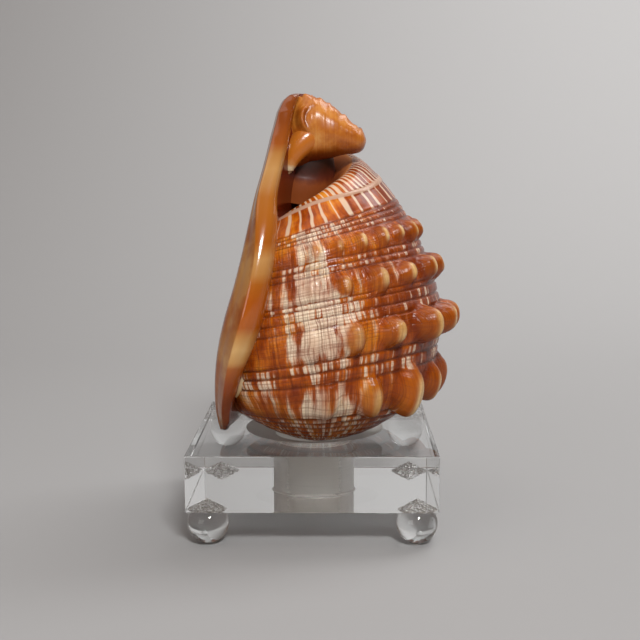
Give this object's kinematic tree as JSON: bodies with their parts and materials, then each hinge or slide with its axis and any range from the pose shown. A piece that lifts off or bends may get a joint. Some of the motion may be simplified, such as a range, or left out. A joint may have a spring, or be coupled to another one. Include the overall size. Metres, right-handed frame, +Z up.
{
  "type": "helmet shell on clear display block",
  "caption": "Knobbed helmet shell standing on its spire in a dished, bored clear acrylic block on clear ball feet, for display on a shelf or table.",
  "frame": {"origin": "on the floor, below the middle of the whole part", "axes": "+Z up along the standing shell, +X towards its knobbed back, -X the way its mouth faces, -Y the side seen in the picture"},
  "size_m": [0.1128, 0.1192, 0.1823],
  "materials": {
    "shell": "natural shell, glossy, orange brown with cream blotches and fine spiral cords",
    "block_acrylic": "clear cast acrylic, polished faces, bore and dish left frosted",
    "foot_acrylic": "clear acrylic balls, polished, glued in frosted drill sockets"
  },
  "bodies": {
    "root": {"shell": "shell", "stand_block": "block_acrylic", "foot_front_left": "foot_acrylic", "foot_front_right": "foot_acrylic", "foot_back_right": "foot_acrylic", "foot_back_left": "foot_acrylic"}
  },
  "joints": []
}
